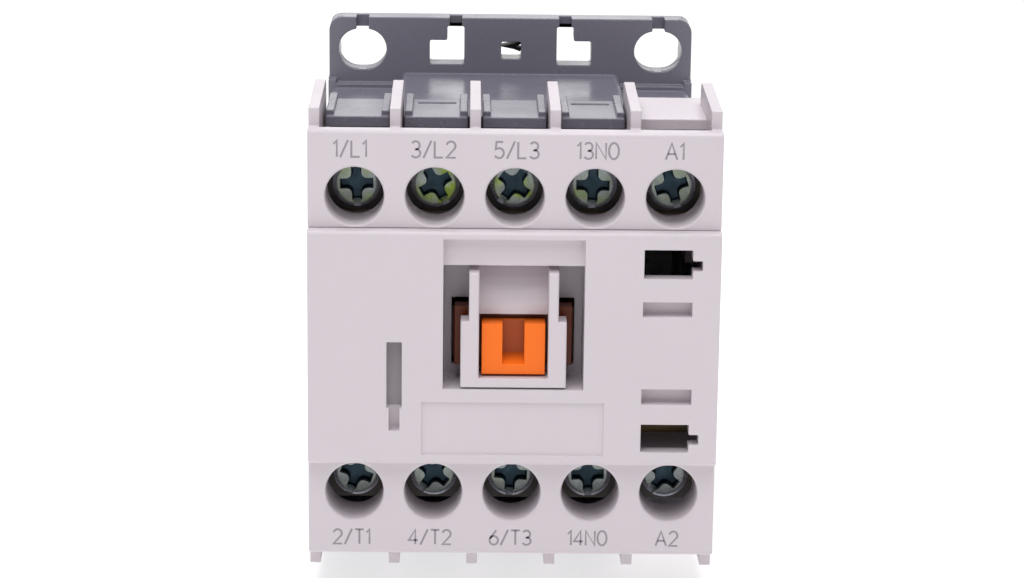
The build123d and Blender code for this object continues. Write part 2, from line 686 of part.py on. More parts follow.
def terminal_screw(bay, side, turn):
    """Pan head with a slot and a flared cross recess, and its shank through washer and plate."""
    x, z = bay_x(bay), side * SCREW_Z
    seat = PLATE_Y - WASHER_THICK
    front = seat - SCREW_HEAD_THICK
    head = Cylinder(SCREW_HEAD_R, SCREW_HEAD_THICK, align=(Align.CENTER, Align.CENTER, Align.MAX))
    head = fillet(head.edges().sort_by(Axis.Z)[-1], HEAD_DOME)
    width, depth = RECESS_SLOT
    head -= Box(2 * SCREW_HEAD_R + 1, width, 2 * depth)
    width, length, depth = RECESS_CROSS
    cross = Rectangle(length, width) + Rectangle(width, length)
    corners = cross.vertices().sort_by(lambda v: Vector(v).length)[:4]
    cross = fillet(corners, RECESS_CORNER)
    head -= extrude(cross, amount=-depth, taper=8)
    shank = Cylinder(
        SCREW_SHANK_R, SCREW_HEAD_THICK + SCREW_LENGTH - 1.4,
        align=(Align.CENTER, Align.CENTER, Align.MAX),
    )
    screw = head + Pos(0, 0, -1.4) * shank
    return Pos(x, front, z) * Rot(90, 0, 0) * Rot(0, 0, turn) * screw


def carrier_bar():
    """The bar through the pole bays, with a window for each bridge and its spring."""
    reach = BAY_HALF - BAR_END_GAP
    x0, x1 = bay_x(-2) - reach, bay_x(1) + reach
    bar = block(x0, x1, BAR_Y, BAR_REAR_Y, -BAR_HALF_Z, BAR_HALF_Z)
    window_y = BAR_Y + BAR_FRONT_BEAM
    for bay in LINE_BAYS.values():
        x = bay_x(bay)
        half = BAR_WINDOW_HALF_X
        bar -= block(x - half, x + half, window_y, window_y + BAR_WINDOW, -BAR_HALF_Z - 1, BAR_HALF_Z + 1)
        bar += rod(x, 0, CONTACT_SPRING[0] - 0.5, window_y - 0.1, window_y + 0.9)
    return bar


def indicator():
    """The slider seen in the window: grooved stub in front of a wider plate."""
    front = BLOCK_Y + STUB_SET_BACK
    plate_y = BLOCK_Y + PLATE_SET_BACK
    low, high = STUB_Z
    stub = block(-STUB_HALF_X, STUB_HALF_X, front, plate_y + 0.2, low, high)
    groove = side_profile(
        [
            (front - 1, low + 1.1),
            (front, low + 1.1),
            (front + STUB_GROOVE_DEPTH, low + 2.0),
            (front + STUB_GROOVE_DEPTH, high + 1),
            (front - 1, high + 1),
        ],
        -STUB_GROOVE_HALF_X, STUB_GROOVE_HALF_X,
    )
    plate = block(-PLATE_HALF_X, PLATE_HALF_X, plate_y, plate_y + PLATE_THICK, *PLATE_Z)
    neck = block(-PLATE_HALF_X, PLATE_HALF_X, plate_y, BAR_Y + 0.1, PLATE_Z[0], BAR_HALF_Z)
    return stub - groove + plate + neck


def carrier_cheeks():
    """Stem, spring wings and the two cheeks that hold the armature by its pin."""
    stem = block(-STEM_HALF_X, STEM_HALF_X, BAR_REAR_Y - 0.1, WING_Y, -BAR_HALF_Z, BAR_HALF_Z)
    wings = block(-WING_HALF_X, WING_HALF_X, WING_Y - WING_THICK, WING_Y, -BAR_HALF_Z, BAR_HALF_Z)
    shape = stem + wings
    inner = CORE_HALF_X + CHEEK_GAP
    cheek_end = ARMATURE_YOKE_Y + CORE_YOKE - 0.3
    for side in (-1, 1):
        cheek = block(
            side * inner, side * (inner + CHEEK), WING_Y - 0.1, cheek_end, -BAR_HALF_Z, BAR_HALF_Z
        )
        shape += cheek
    return shape - pin_rod(PIN_R + PIN_CLEARANCE, 2 * (inner + CHEEK) + 2)


def pin_rod(radius, length):
    pin_y = ARMATURE_YOKE_Y + CORE_YOKE / 2
    return Pos(0, pin_y, 0) * Rot(0, 90, 0) * Cylinder(radius, length)


def contact_carrier():
    return carrier_bar() + indicator() + carrier_cheeks()


def bridge_contact(bay):
    """Bridge strip with a silver tip at each end, facing the fixed tips."""
    x = bay_x(bay)
    back = BAR_Y + BAR_FRONT_BEAM + BAR_WINDOW - BRIDGE_SEAT_GAP
    front = back - BRIDGE_THICK
    strip = block(x - BRIDGE_HALF_X, x + BRIDGE_HALF_X, front, back, -BRIDGE_HALF_Z, BRIDGE_HALF_Z)
    fixed_face = PLATE_Y + CONTACT_DROP - TIP_THICK
    tip_face = fixed_face - (CARRIER_TRAVEL - CONTACT_WIPE) - WINDING_GAP
    for side in (-1, 1):
        strip += rod(x, side * CONTACT_Z, TIP_D / 2, back - 0.1, tip_face)
    return strip


def contact_springs():
    start = BAR_Y + BAR_FRONT_BEAM
    end = start + BAR_WINDOW - BRIDGE_SEAT_GAP - BRIDGE_THICK
    coils = [
        spring(CONTACT_SPRING, (bay_x(bay), start, 0), (bay_x(bay), end, 0))
        for bay in LINE_BAYS.values()
    ]
    return Compound(children=coils)


def return_springs():
    coils = [
        spring(RETURN_SPRING, (x, BOBBIN_FRONT_Y, 0), (x, WING_Y, 0))
        for x in (-RETURN_SPRING_X, RETURN_SPRING_X)
    ]
    return Compound(children=coils)


def e_core(yoke_y0, yoke_y1, outer_face, centre_face):
    """An E of laminations: a yoke and three legs towards the given faces."""
    half = CORE_HALF_X
    leg_root = (yoke_y0 + yoke_y1) / 2
    shape = block(-half, half, yoke_y0, yoke_y1, -CORE_HALF_Z, CORE_HALF_Z)
    shape += block(-half, half, leg_root, centre_face, -CENTRE_LEG_HALF_Z, CENTRE_LEG_HALF_Z)
    for side in (-1, 1):
        shape += block(-half, half, leg_root, outer_face, side * OUTER_LEG_INNER, side * CORE_HALF_Z)
    return shape


def armature():
    y0 = ARMATURE_YOKE_Y
    shape = e_core(y0, y0 + CORE_YOKE, ARMATURE_POLE_Y, ARMATURE_POLE_Y - CENTRE_GAP)
    return shape - pin_rod(PIN_R + 2 * PIN_CLEARANCE, 2 * CORE_HALF_X + 2)


def armature_pin():
    return pin_rod(PIN_R, 2 * (CORE_HALF_X + CHEEK_GAP + CHEEK))


def fixed_core():
    y1 = -FLOOR - PAD_THICK
    shape = e_core(y1 - CORE_YOKE, y1, -CORE_FACE, -CORE_FACE + CENTRE_GAP)
    for side in (-1, 1):
        shape -= block(
            -CORE_HALF_X - 1, CORE_HALF_X + 1, -CORE_FACE - 1, -CORE_FACE + RING_DEPTH + 0.4,
            side * RING_Z, side * (RING_Z + RING_SLOT),
        )
    return shape


def shading_rings():
    """A copper ring round the outer half of each outer pole, its inner side in the pole's slot."""
    gap = 0.05
    y0, y1 = -CORE_FACE + 0.3, -CORE_FACE + 0.3 + RING_DEPTH
    inner_z, outer_z = RING_Z + RING_SLOT - gap, CORE_HALF_Z + gap
    rings = []
    for side in (-1, 1):
        ring = block(
            -CORE_HALF_X - RING_OVERHANG, CORE_HALF_X + RING_OVERHANG, y0, y1,
            side * (RING_Z + gap), side * (outer_z + RING_SLOT - 2 * gap),
        )
        hole = block(
            -CORE_HALF_X - gap, CORE_HALF_X + gap, y0 - 1, y1 + 1, side * inner_z, side * outer_z
        )
        rings.append(ring - hole)
    return Compound(children=rings)


def core_pad():
    return block(
        -CORE_HALF_X, CORE_HALF_X, -FLOOR - PAD_THICK, -FLOOR, -CORE_HALF_Z + 0.3, CORE_HALF_Z - 0.3
    )


def coil_bobbin():
    """A square spool round the centre legs."""
    hole_x = CORE_HALF_X + BOBBIN_CORE_GAP
    hole_z = CENTRE_LEG_HALF_Z + BOBBIN_CORE_GAP
    rear, front = -BOBBIN_REAR, BOBBIN_FRONT_Y
    tube_x, tube_z = hole_x + BOBBIN_TUBE, hole_z + BOBBIN_TUBE
    shape = block(-tube_x, tube_x, front, rear, -tube_z, tube_z)
    for y0, y1 in ((front, front + BOBBIN_FLANGE), (rear - BOBBIN_FLANGE, rear)):
        shape += block(-BOBBIN_HALF_X, BOBBIN_HALF_X, y0, y1, -BOBBIN_HALF_Z, BOBBIN_HALF_Z)
    return shape - block(-hole_x, hole_x, front - 1, rear + 1, -hole_z, hole_z)


def coil_winding():
    tube_x = CORE_HALF_X + BOBBIN_CORE_GAP + BOBBIN_TUBE + WINDING_GAP
    tube_z = CENTRE_LEG_HALF_Z + BOBBIN_CORE_GAP + BOBBIN_TUBE + WINDING_GAP
    y0 = BOBBIN_FRONT_Y + BOBBIN_FLANGE + WINDING_GAP
    y1 = -BOBBIN_REAR - BOBBIN_FLANGE - WINDING_GAP
    x, z = BOBBIN_HALF_X - WINDING_INSET, BOBBIN_HALF_Z - WINDING_INSET
    shape = block(-x, x, y0, y1, -z, z)
    shape = fillet(shape.edges().filter_by(Axis.Y), 2.5)
    return shape - block(-tube_x, tube_x, y0 - 1, y1 + 1, -tube_z, tube_z)


def din_latch():
    """Latch plate in its T channel: rail lip, spring window and screwdriver slot."""
    back = -LATCH_BACK
    front = -RAIL_SEAT + LATCH_GAP
    grip = -RAIL_SEAT + RAIL_GRIP
    shoulder = -RAIL_HALF_HEIGHT - LATCH_GAP
    shape = block(-LATCH_HALF_X, LATCH_HALF_X, front, back, LATCH_BOTTOM, shoulder)
    wing_x = LATCH_HALF_X + LATCH_WING
    shape += block(-wing_x, wing_x, front, front + LATCH_WING_THICK, LATCH_BOTTOM, shoulder)
    shape += block(-LATCH_HALF_X, LATCH_HALF_X, grip, back, shoulder - 1, LATCH_TOP)
    half, low, high = LATCH_WINDOW
    shape -= block(-half, half, front - 1, back + 1, low, high)
    shape -= block(-2.2, 2.2, front - 1, back + 1, LATCH_BOTTOM + 0.6, LATCH_BOTTOM + 1.6)
    lip = shape.edges().filter_by(Axis.X).group_by(Axis.Z)[-1].sort_by(Axis.Y)[-1]
    return chamfer(lip, 0.8)


def din_latch_spring():
    y = (-RAIL_SEAT - LATCH_BACK) / 2
    return spring(LATCH_SPRING, (0, y, LATCH_POST[2]), (0, y, LATCH_WINDOW[2]))


def rail_spring():
    """A small V of spring steel across the flange's middle opening, its point at the left edge."""
    x0, x1 = PEEP_HOLE[:2]
    y0 = FLANGE_Y + 0.5
    y1 = FLANGE_Y + FLANGE_PLATE - 0.6
    outline = [
        (x0, 0.4), (0.4, 0.75), (x1 - 0.1, 1.05), (x1, 0.75), (0.75, 0.4), (x1, 0.1),
        (x1 - 0.1, -0.2), (0.4, 0.1),
    ]
    face = make_face(Polyline([(x, y0, PANEL_Z + z) for x, z in outline], close=True))
    return extrude(face, amount=y1 - y0, dir=(0, 1, 0))


def write(name, shape):
    export_step(shape, os.path.join("parts", name + ".step"))


os.makedirs("parts", exist_ok=True)
write("base_frame", base_frame())
write("arc_chamber", arc_chamber())
write("front_cover", front_cover())
write("terminal_cover_top", terminal_cover(1))
write("terminal_cover_bottom", terminal_cover(-1))
write("contact_carrier", contact_carrier())
write("contact_springs", contact_springs())
write("armature", armature())
write("armature_pin", armature_pin())
write("return_springs", return_springs())
write("fixed_core", fixed_core())
write("shading_rings", shading_rings())
write("core_pad", core_pad())
write("coil_bobbin", coil_bobbin())
write("coil_winding", coil_winding())
write("din_latch", din_latch())
write("din_latch_spring", din_latch_spring())
write("rail_spring", rail_spring())
for number, bay in enumerate(LINE_BAYS.values(), 1):
    write(f"bridge_contact_{number}", bridge_contact(bay))
for bays, coil_end, side, turns in (
    (LINE_BAYS, "a1", 1, SCREW_TURNS_TOP),
    (LOAD_BAYS, "a2", -1, SCREW_TURNS_BOTTOM),
):
    for name, bay in bays.items():
        write(f"terminal_{name}", pole_terminal(bay, side))
    write(f"terminal_{coil_end}", coil_terminal(side))
    for (name, bay), turn in zip({**bays, coil_end: COIL_BAY}.items(), turns):
        write(f"washer_{name}", clamp_washer(bay, side))
        write(f"screw_{name}", terminal_screw(bay, side, turn))
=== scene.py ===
import json
import math
import bpy
from mathutils import Matrix, Vector


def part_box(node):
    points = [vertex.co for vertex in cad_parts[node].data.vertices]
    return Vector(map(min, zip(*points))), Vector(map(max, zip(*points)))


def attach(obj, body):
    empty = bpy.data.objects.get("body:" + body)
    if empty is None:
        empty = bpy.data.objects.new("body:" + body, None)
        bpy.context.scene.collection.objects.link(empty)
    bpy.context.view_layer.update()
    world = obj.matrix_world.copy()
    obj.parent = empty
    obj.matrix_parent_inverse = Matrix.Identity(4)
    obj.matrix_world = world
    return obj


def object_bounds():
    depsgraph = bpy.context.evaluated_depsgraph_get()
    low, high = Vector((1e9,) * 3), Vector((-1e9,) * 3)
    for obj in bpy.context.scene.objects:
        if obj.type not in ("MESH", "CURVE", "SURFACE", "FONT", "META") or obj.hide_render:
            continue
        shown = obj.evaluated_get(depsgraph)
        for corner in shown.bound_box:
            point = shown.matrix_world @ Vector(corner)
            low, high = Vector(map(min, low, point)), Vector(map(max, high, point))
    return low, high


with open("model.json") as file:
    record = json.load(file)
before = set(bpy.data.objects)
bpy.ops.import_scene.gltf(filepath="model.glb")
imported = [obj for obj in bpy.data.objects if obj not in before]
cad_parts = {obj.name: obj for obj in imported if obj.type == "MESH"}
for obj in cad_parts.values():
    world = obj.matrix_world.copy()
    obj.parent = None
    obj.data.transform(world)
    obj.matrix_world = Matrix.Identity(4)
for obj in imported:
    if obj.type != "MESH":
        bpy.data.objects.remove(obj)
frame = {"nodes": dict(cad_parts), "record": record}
CAD_BOX = [list(corner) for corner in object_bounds()]
MM = 0.001

# Places on the object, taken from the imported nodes
FACE_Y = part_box("terminal_cover_top")[0].y
BLOCK_Y = CAD_BOX[0][1]
HEAD_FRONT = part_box("screw_l1")[0].y
SLIDER_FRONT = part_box("contact_carrier")[0].y
BAY_PITCH = (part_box("screw_a1")[0].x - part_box("screw_l1")[0].x) / 4
POLE_BAYS = ("l1", "l2", "l3", "13", "a1")
LOAD_BAYS = ("t1", "t2", "t3", "14", "a2")

BUMP_HEIGHT = 0.02 * MM
WELD_REACH = 0.0005 * MM
FLAT_ANGLE = math.radians(0.6)
COVER_EDGE = 0.1 * MM
BASE_EDGE = 0.12 * MM
SLIDER_EDGE = 0.08 * MM
INK_PROUD = 0.004 * MM
MARK_STROKE = 0.23 * MM
UPPER_MARKS = (21.95 * MM, 1.78 * MM)  # height above the middle, and height of the figures
LOWER_MARKS = (-22.0 * MM, 1.68 * MM)


# --- Node helpers -----------------------------------------------------------------------------

COLOUR, NUMBER, VECTOR = "NodeSocketColor", "NodeSocketFloat", "NodeSocketVector"


def node(tree, kind, place=(0, 0), **values):
    """A node with its settings: plain names set attributes, names in `inputs` set sockets."""
    made = tree.nodes.new(kind)
    made.location = place
    for key, value in values.items():
        if key == "inputs":
            for name, v in value.items():
                made.inputs[name].default_value = v
        else:
            setattr(made, key, value)
    return made


def link(tree, *pairs):
    """Join each source socket to its target socket."""
    for source, target in pairs:
        tree.links.new(source, target)


def sockets(tree, inputs, outputs):
    """Name the group's sockets: (name, kind, default) in, (name, kind) out."""
    for name, kind, default in inputs:
        made = tree.interface.new_socket(name=name, in_out="INPUT", socket_type=kind)
        made.default_value = default
    for name, kind in outputs:
        tree.interface.new_socket(name=name, in_out="OUTPUT", socket_type=kind)
    return tree.nodes.new("NodeGroupInput"), tree.nodes.new("NodeGroupOutput")


def noise(tree, coords, scale, detail=2.0, rough=0.5):
    """Noise from 0 to 1; `scale`, a number or a socket, is about how many patches to the metre."""
    made = node(tree, "ShaderNodeTexNoise", inputs={"Detail": detail, "Roughness": rough})
    if isinstance(scale, (int, float)):
        made.inputs["Scale"].default_value = scale
    else:
        tree.links.new(scale, made.inputs["Scale"])
    tree.links.new(coords, made.inputs["Vector"])
    return made.outputs["Fac"]


def spread(tree, value, low, high, to_low=0.0, to_high=1.0):
    """The value's range stretched to a new one, and held inside it."""
    made = node(
        tree, "ShaderNodeMapRange",
        inputs={"From Min": low, "From Max": high, "To Min": to_low, "To Max": to_high},
    )
    tree.links.new(value, made.inputs["Value"])
    return made.outputs["Result"]


def maths(tree, operation, a, b):
    """One sum on two numbers or sockets."""
    made = node(tree, "ShaderNodeMath", operation=operation)
    for socket, value in zip(made.inputs, (a, b)):
        if isinstance(value, (int, float)):
            socket.default_value = value
        else:
            tree.links.new(value, socket)
    return made.outputs[0]


def blend_colour(tree, factor, a, b, mode="MIX"):
    """Two colours blended; each part is a value or a socket."""
    made = node(tree, "ShaderNodeMix", data_type="RGBA", blend_type=mode)
    for name, value in (("Factor", factor), ("A", a), ("B", b)):
        socket = [s for s in made.inputs if s.name == name and s.enabled][0]
        if isinstance(value, bpy.types.NodeSocket):
            tree.links.new(value, socket)
        else:
            socket.default_value = value
    return [s for s in made.outputs if s.enabled][0]


def scaled(tree, colour, amount):
    """The colour made lighter or darker by a plain number."""
    grey = node(tree, "ShaderNodeCombineColor")
    link(tree, *[(amount, grey.inputs[name]) for name in ("Red", "Green", "Blue")])
    return blend_colour(tree, 1.0, colour, grey.outputs["Color"], "MULTIPLY")


# --- Shared surface effects -------------------------------------------------------------------


def moulding_group():
    """Moulded plastic: slow colour drift, fine flecks, uneven gloss and a fine spark texture."""
    tree = bpy.data.node_groups.new("moulding_skin", "ShaderNodeTree")
    start, end = sockets(
        tree,
        [
            ("Colour", COLOUR, (0.5, 0.5, 0.5, 1)),
            ("Drift", NUMBER, 0.06),
            ("Fleck", NUMBER, 0.03),
            ("Gloss Low", NUMBER, 0.35),
            ("Gloss High", NUMBER, 0.5),
            ("Grain Scale", NUMBER, 5000.0),
            ("Grain", NUMBER, 0.5),
        ],
        [("Colour", COLOUR), ("Roughness", NUMBER), ("Height", NUMBER)],
    )
    coords = node(tree, "ShaderNodeTexCoord").outputs["Object"]
    slow = noise(tree, coords, 55.0, 3.0)
    fine = noise(tree, coords, 2600.0, 2.0)
    centred = maths(tree, "SUBTRACT", slow, 0.5)
    flecks = maths(tree, "SUBTRACT", fine, 0.5)
    lift = maths(tree, "ADD", maths(tree, "MULTIPLY", centred, start.outputs["Drift"]), 1.0)
    lift = maths(tree, "ADD", lift, maths(tree, "MULTIPLY", flecks, start.outputs["Fleck"]))
    colour = scaled(tree, start.outputs["Colour"], lift)
    patch = noise(tree, coords, 130.0, 4.0, 0.6)
    gloss = node(tree, "ShaderNodeMapRange", inputs={"From Min": 0.3, "From Max": 0.7})
    link(
        tree,
        (patch, gloss.inputs["Value"]),
        (start.outputs["Gloss Low"], gloss.inputs["To Min"]),
        (start.outputs["Gloss High"], gloss.inputs["To Max"]),
        (colour, end.inputs["Colour"]),
        (gloss.outputs["Result"], end.inputs["Roughness"]),
    )
    grain = noise(tree, coords, start.outputs["Grain Scale"], 2.0, 0.6)
    height = maths(tree, "MULTIPLY", grain, start.outputs["Grain"])
    link(tree, (height, end.inputs["Height"]))
    return tree


def plating_group():
    """Passivated zinc: a silver dome with yellow-green bloom and a lilac rim, with painted shade
    in the recess and on the head's side.

    The recess and the head's side are told from the dome by their depth under its surface.
    """
    tree = bpy.data.node_groups.new("passivated_zinc", "ShaderNodeTree")
    start, end = sockets(
        tree,
        [
            ("Silver", COLOUR, (0.5, 0.53, 0.52, 1)),
            ("Bloom", COLOUR, (0.42, 0.5, 0.1, 1)),
            ("Rim", COLOUR, (0.4, 0.42, 0.5, 1)),
            # Deep is the colour of the painted shade in the recess and on the head's side
            ("Deep", COLOUR, (0.04, 0.08, 0.1, 1)),
            ("Head Front", NUMBER, -0.0486),
            ("Head Radius", NUMBER, 0.00268),
            ("Dome", NUMBER, 0.00055),
            ("Pitch", NUMBER, 0.0087),
            ("Row", NUMBER, 0.0167),
        ],
        [("Colour", COLOUR), ("Roughness", NUMBER), ("Height", NUMBER)],
    )
    coords = node(tree, "ShaderNodeTexCoord").outputs["Object"]
    split = node(tree, "ShaderNodeSeparateXYZ")
    link(tree, (coords, split.inputs[0]))
    x, y, z = (split.outputs[name] for name in "XYZ")
    half = maths(tree, "MULTIPLY", start.outputs["Pitch"], 0.5)
    wrapped = node(tree, "ShaderNodeMath", operation="WRAP")
    link(
        tree,
        (x, wrapped.inputs[0]),
        (half, wrapped.inputs[1]),
        (maths(tree, "MULTIPLY", half, -1.0), wrapped.inputs[2]),
    )
    across = wrapped.outputs[0]
    along = maths(tree, "SUBTRACT", maths(tree, "ABSOLUTE", z, 0.0), start.outputs["Row"])
    square = maths(
        tree, "ADD", maths(tree, "MULTIPLY", across, across), maths(tree, "MULTIPLY", along, along)
    )
    radius = maths(tree, "DIVIDE", maths(tree, "SQRT", square, 0.0), start.outputs["Head Radius"])
    fall = maths(tree, "MULTIPLY", maths(tree, "POWER", radius, 2.0), start.outputs["Dome"])
    under = maths(tree, "SUBTRACT", maths(tree, "SUBTRACT", y, start.outputs["Head Front"]), fall)
    # Painted shade: the recess and the head's side darken once they lie under the dome's surface
    painted_shade = spread(tree, under, 0.00012, 0.0004)
    bloom = spread(tree, noise(tree, coords, 420.0, 3.0), 0.40, 0.58)
    aside = maths(tree, "ABSOLUTE", maths(tree, "ADD", x, half), 0.0)
    bloom = maths(tree, "MULTIPLY", bloom, spread(tree, aside, 0.005, 0.016, 1.0, 0.25))
    bloom = maths(tree, "MULTIPLY", bloom, spread(tree, z, -0.005, 0.005, 0.12, 1.0))
    face = blend_colour(tree, bloom, start.outputs["Silver"], start.outputs["Bloom"])
    face = blend_colour(tree, spread(tree, radius, 0.78, 0.95), face, start.outputs["Rim"])
    speck = spread(tree, noise(tree, coords, 5200.0, 2.0), 0.35, 0.7, 0.8, 1.08)
    face = scaled(tree, face, speck)
    colour = blend_colour(tree, painted_shade, face, start.outputs["Deep"])
    rough = spread(tree, noise(tree, coords, 900.0, 3.0), 0.3, 0.7, 0.24, 0.42)
    link(
        tree,
        (colour, end.inputs["Colour"]),
        (rough, end.inputs["Roughness"]),
        (noise(tree, coords, 7000.0, 2.0), end.inputs["Height"]),
    )
    return tree


def strands_group():
    """Even fine lines along one axis, for stacked sheets and for wound wire."""
    tree = bpy.data.node_groups.new("fine_lines", "ShaderNodeTree")
    start, end = sockets(
        tree,
        [
            ("Axis", VECTOR, (1.0, 0.0, 0.0)),
            ("Lines per Metre", NUMBER, 2000.0),
            ("Crest", COLOUR, (0.5, 0.5, 0.5, 1)),
            ("Valley", COLOUR, (0.1, 0.1, 0.1, 1)),
        ],
        [("Colour", COLOUR), ("Height", NUMBER), ("Roughness", NUMBER)],
    )
    coords = node(tree, "ShaderNodeTexCoord").outputs["Object"]
    along = node(tree, "ShaderNodeVectorMath", operation="DOT_PRODUCT")
    link(tree, (coords, along.inputs[0]), (start.outputs["Axis"], along.inputs[1]))
    turns = maths(tree, "MULTIPLY", along.outputs["Value"], start.outputs["Lines per Metre"])
    wave = maths(tree, "SINE", maths(tree, "MULTIPLY", turns, 2 * math.pi), 0.0)
    level = spread(tree, wave, -1.0, 1.0)
    shade = maths(tree, "POWER", level, 0.5)
    wear = noise(tree, coords, 300.0, 3.0)
    colour = blend_colour(tree, shade, start.outputs["Valley"], start.outputs["Crest"])
    link(
        tree,
        (colour, end.inputs["Colour"]),
        (level, end.inputs["Height"]),
        (spread(tree, wear, 0.3, 0.7, 0.3, 0.45), end.inputs["Roughness"]),
    )
    return tree


def shade_group():
    """Colour that darkens between two depths, painted in to deepen the slider's recesses."""
    tree = bpy.data.node_groups.new("deep_shade", "ShaderNodeTree")
    start, end = sockets(
        tree,
        [
            ("Colour", COLOUR, (0.5, 0.5, 0.5, 1)),
            ("Deep Colour", COLOUR, (0.1, 0.1, 0.1, 1)),
            ("Depth Start", NUMBER, -0.05),
            ("Depth End", NUMBER, -0.04),
        ],
        [("Colour", COLOUR)],
    )
    coords = node(tree, "ShaderNodeTexCoord").outputs["Object"]
    split = node(tree, "ShaderNodeSeparateXYZ")
    depth = node(tree, "ShaderNodeMapRange")
    link(
        tree,
        (coords, split.inputs[0]),
        (split.outputs["Y"], depth.inputs["Value"]),
        (start.outputs["Depth Start"], depth.inputs["From Min"]),
        (start.outputs["Depth End"], depth.inputs["From Max"]),
    )
    colour = blend_colour(
        tree, depth.outputs["Result"], start.outputs["Colour"], start.outputs["Deep Colour"]
    )
    link(tree, (colour, end.inputs["Colour"]))
    return tree


SKIN = moulding_group()
SHADE = shade_group()
ZINC = plating_group()
LINES = strands_group()


# --- Materials --------------------------------------------------------------------------------


def blank(name, metallic=0.0, **fixed):
    """A material with its shader; `fixed` numbers go straight onto the shader's sockets."""
    made = bpy.data.materials.new(name)
    made.use_nodes = True
    shader = made.node_tree.nodes["Principled BSDF"]
    shader.inputs["Metallic"].default_value = metallic
    for key, value in fixed.items():
        shader.inputs[key.replace("_", " ")].default_value = value
    return made, made.node_tree, shader


def dress(tree, shader, group, values, bump, distance):
    """Feed a shared group into the shader, with its height through a Bump node."""
    skin = node(tree, "ShaderNodeGroup", (-500, 0))
    skin.node_tree = group
    for key, value in values.items():
        skin.inputs[key].default_value = value
    dent = node(
        tree, "ShaderNodeBump", (-250, -200), inputs={"Strength": bump, "Distance": distance}
    )
    link(
        tree,
        (skin.outputs["Colour"], shader.inputs["Base Color"]),
        (skin.outputs["Roughness"], shader.inputs["Roughness"]),
        (skin.outputs["Height"], dent.inputs["Height"]),
        (dent.outputs["Normal"], shader.inputs["Normal"]),
    )
    return skin


def plastic(
    name, colour, gloss, drift=0.05, fleck=0.03, grain=0.5, scale=5000.0, bump=0.1, painted_shade=None,
    **fixed,
):
    """Moulded plastic; the optional shade gives two depths and the colour it darkens to between
    them, a painted shade for recesses.
    """
    made, tree, shader = blank(name, **fixed)
    values = {
        "Colour": (*colour, 1), "Drift": drift, "Fleck": fleck,
        "Gloss Low": gloss[0], "Gloss High": gloss[1], "Grain Scale": scale, "Grain": grain,
    }
    skin = dress(tree, shader, SKIN, values, bump, BUMP_HEIGHT)
    # Painted shade: the colour darkens with depth through the deep_shade group
    if painted_shade:
        start, end, dark = painted_shade
        shade = node(tree, "ShaderNodeGroup", (-750, 0))
        shade.node_tree = SHADE
        shade.inputs["Colour"].default_value = (*colour, 1)
        shade.inputs["Deep Colour"].default_value = (*dark, 1)
        shade.inputs["Depth Start"].default_value = start
        shade.inputs["Depth End"].default_value = end
        link(tree, (shade.outputs["Colour"], skin.inputs["Colour"]))
    return made


def zinc(name, silver, bloom, rim, painted_shade):
    """Plated screw; the four colours are those of the plating group, the last being painted shade
    for the recess and the head's side.
    """
    made, tree, shader = blank(name, metallic=0.7)
    low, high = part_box("screw_l3")
    values = {
        "Silver": (*silver, 1), "Bloom": (*bloom, 1), "Rim": (*rim, 1), "Deep": (*painted_shade, 1),
        "Head Front": HEAD_FRONT, "Row": (low.z + high.z) / 2, "Pitch": BAY_PITCH,
    }
    dress(tree, shader, ZINC, values, bump=0.12, distance=BUMP_HEIGHT)
    return made


def lined(name, axis, count, crest, valley, metallic, bump, depth):
    """Fine lines across `axis`, `count` of them to the metre."""
    made, tree, shader = blank(name, metallic=metallic)
    values = {
        "Axis": axis, "Lines per Metre": count, "Crest": (*crest, 1), "Valley": (*valley, 1),
    }
    dress(tree, shader, LINES, values, bump, depth)
    return made


def metal(name, colour, low, high, drift=0.1):
    """Metal with an uneven, lightly handled surface, whose roughness runs from `low` to `high`."""
    made, tree, shader = blank(name, metallic=1.0)
    values = {
        "Colour": (*colour, 1), "Drift": drift, "Fleck": 0.05,
        "Gloss Low": low, "Gloss High": high, "Grain Scale": 3500.0, "Grain": 1.0,
    }
    dress(tree, shader, SKIN, values, bump=0.08, distance=BUMP_HEIGHT)
    return made


